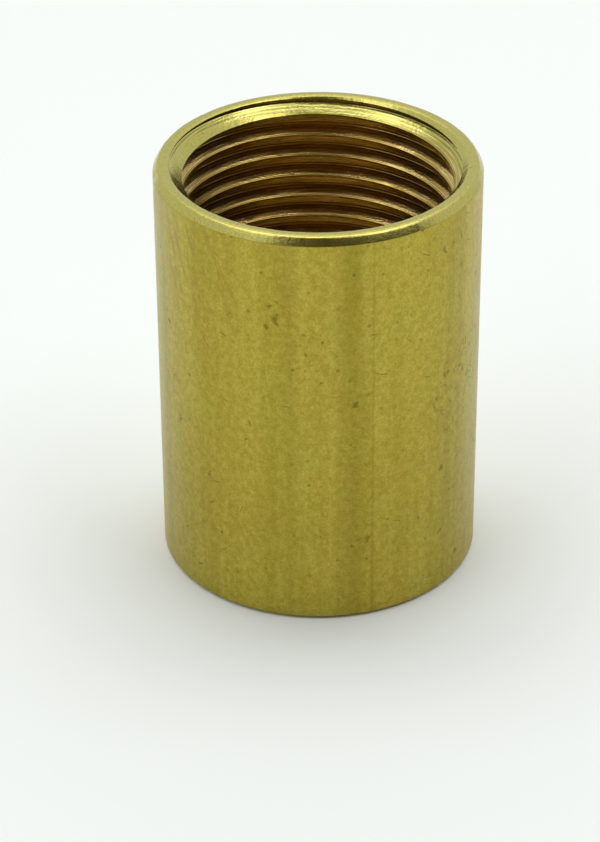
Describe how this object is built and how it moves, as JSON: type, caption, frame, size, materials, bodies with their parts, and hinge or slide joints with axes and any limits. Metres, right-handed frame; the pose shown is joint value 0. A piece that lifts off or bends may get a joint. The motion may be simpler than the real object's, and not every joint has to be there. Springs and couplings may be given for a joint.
{
  "type": "pipe coupling",
  "caption": "Short round brass pipe coupling, plain outside, with one internal right-hand pipe thread running from mouth to mouth.",
  "frame": {"origin": "centre of the lower end face, on the axis of the bore", "axes": "+Z along the bore axis, from the lower mouth to the upper mouth; the thread's groove crosses +X 0.44 mm above the lower face"},
  "size_m": [0.0254, 0.0254, 0.034],
  "materials": {
    "brass": "bare drawn and turned brass, dull satin with light tarnish, brighter where the end faces were turned"
  },
  "bodies": {
    "root": {"threaded_sleeve": "brass"}
  },
  "joints": []
}
